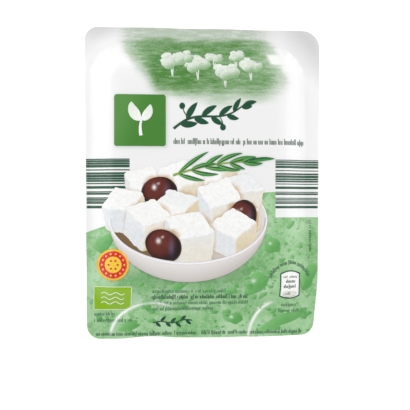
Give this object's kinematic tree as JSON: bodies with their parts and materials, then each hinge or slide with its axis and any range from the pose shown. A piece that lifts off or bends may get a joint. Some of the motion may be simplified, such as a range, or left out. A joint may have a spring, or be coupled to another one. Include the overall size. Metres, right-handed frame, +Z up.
{
  "type": "vacuum packed cheese",
  "caption": "Flat vacuum pack of a cheese block, filled back film with a printed front film sealed over it and a wavy cut border.",
  "frame": {"origin": "on the ground under the middle of the pack's outline, the pack lying on its back", "axes": "+X to the right of the print, +Y towards the print's top, +Z up out of the printed face"},
  "size_m": [0.1052, 0.137, 0.0225],
  "materials": {
    "printed_film": "gloss, printed white with green",
    "formed_film": "gloss, plain white"
  },
  "bodies": {
    "root": {"front_film": "printed_film", "filled_pouch": "formed_film"}
  },
  "joints": []
}
